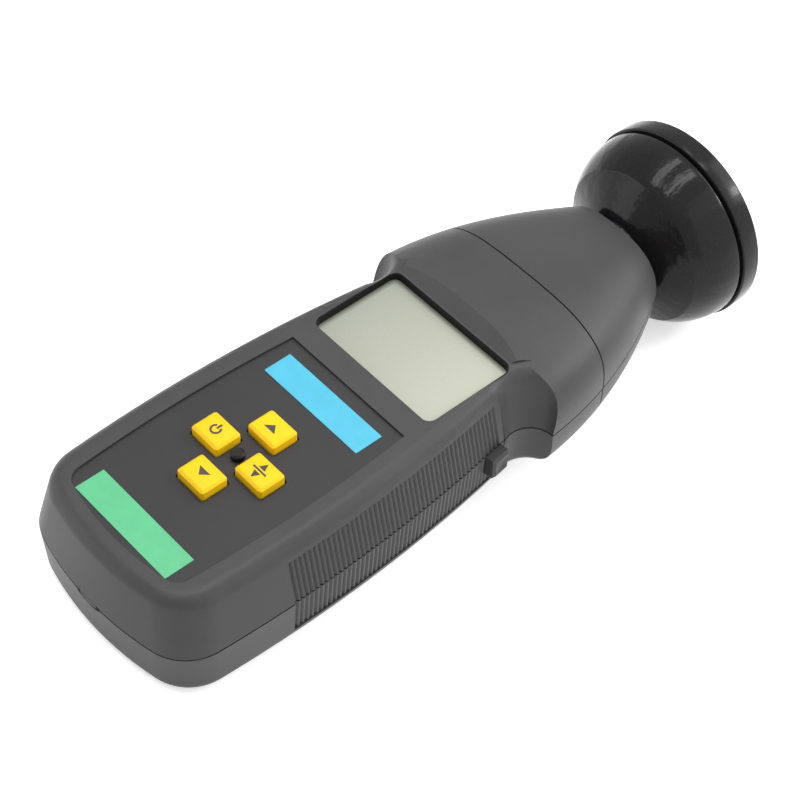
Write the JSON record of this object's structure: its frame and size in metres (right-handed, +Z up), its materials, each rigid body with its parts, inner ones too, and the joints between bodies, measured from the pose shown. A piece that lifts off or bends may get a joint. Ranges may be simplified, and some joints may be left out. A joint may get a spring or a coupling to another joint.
{
  "type": "xenon stroboscope",
  "caption": "Hand-held digital stroboscope: ribbed moulded grip with display and keys, side trigger button, and a round xenon lamp head on a tapered nose.",
  "frame": {"origin": "on the table, at the centre of the object's outline seen from above", "axes": "+Y along the object from its rear end towards the lamp, +Z up from the table, +X to the right seen from behind with the keys up; the side button is on the +X side"},
  "size_m": [0.078, 0.2277, 0.0642],
  "materials": {
    "housing_plastic": "fine moulded texture, satin",
    "panel_plastic": "smooth printed overlay",
    "blue_film": "printed film",
    "green_film": "printed film",
    "key_plastic": "satin with dark printed signs",
    "stud_plastic": "satin",
    "display": "reflective grey-green display, blank",
    "white_plastic": "moulded",
    "strip_rubber": "banded silicone",
    "board": "coated board",
    "chip_plastic": "moulded",
    "steel": "zinc plated",
    "switch_plastic": "moulded",
    "cell_can": "sleeved can",
    "bell_plastic": "polished black",
    "clear_glass": "clear",
    "gasket_rubber": "moulded",
    "mirror_metal": "bright aluminised",
    "ceramic": "glazed ceramic look",
    "capacitor_can": "sleeved can",
    "coil": "wound and taped",
    "coil_plastic": "potted",
    "lead_rubber": "insulated wire"
  },
  "bodies": {
    "housing": {"front_shell": "housing_plastic", "back_shell": "housing_plastic", "nose_upper": "housing_plastic", "nose_lower": "housing_plastic", "face_plate": "panel_plastic", "label_blue": "blue_film", "label_green": "green_film", "centre_stud": "stud_plastic", "key_switches": "switch_plastic", "lcd_glass": "display", "lcd_frame": "white_plastic", "zebra_strips": "strip_rubber", "main_board": "board", "control_chip": "chip_plastic", "board_screws": "steel", "side_switch": "switch_plastic", "battery_cells": "cell_can", "battery_springs": "steel", "contact_plates": "steel", "shell_screws": "steel", "nose_screws": "steel", "lamp_bowl": "bell_plastic", "lamp_ring": "bell_plastic", "lamp_glass": "clear_glass", "lens_gasket": "gasket_rubber", "reflector": "mirror_metal", "tube_socket": "ceramic", "lamp_board": "board", "xenon_tube": "clear_glass", "power_board": "board", "flash_capacitor": "capacitor_can", "inverter_transformer": "coil", "trigger_coil": "coil_plastic", "lamp_leads": "lead_rubber"},
    "key_power": {"key_power": "key_plastic"},
    "key_up": {"key_up": "key_plastic"},
    "key_down": {"key_down": "key_plastic"},
    "key_fine": {"key_fine": "key_plastic"},
    "side_button": {"side_button": "housing_plastic"},
    "battery_door": {"battery_door": "housing_plastic"}
  },
  "joints": [
    {"name": "key_power_press", "type": "slide", "parent": "housing", "child": "key_power", "axis": [0, 0.0679, -0.9977], "range_m": [0, 0.001], "stiffness_N_per_m": 1200},
    {"name": "key_up_press", "type": "slide", "parent": "housing", "child": "key_up", "axis": [0, 0.0679, -0.9977], "range_m": [0, 0.001], "stiffness_N_per_m": 1200},
    {"name": "key_down_press", "type": "slide", "parent": "housing", "child": "key_down", "axis": [0, 0.0679, -0.9977], "range_m": [0, 0.001], "stiffness_N_per_m": 1200},
    {"name": "key_fine_press", "type": "slide", "parent": "housing", "child": "key_fine", "axis": [0, 0.0679, -0.9977], "range_m": [0, 0.001], "stiffness_N_per_m": 1200},
    {"name": "side_button_press", "type": "slide", "parent": "housing", "child": "side_button", "axis": [-0.9901, -0.1402, -0.0095], "range_m": [0, 0.001], "stiffness_N_per_m": 1500},
    {"name": "battery_door_hinge", "type": "hinge", "parent": "housing", "child": "battery_door", "pos_m": [0, -0.03387, 0.00567], "axis": [1, 0, 0], "range_deg": [0, 35]}
  ]
}
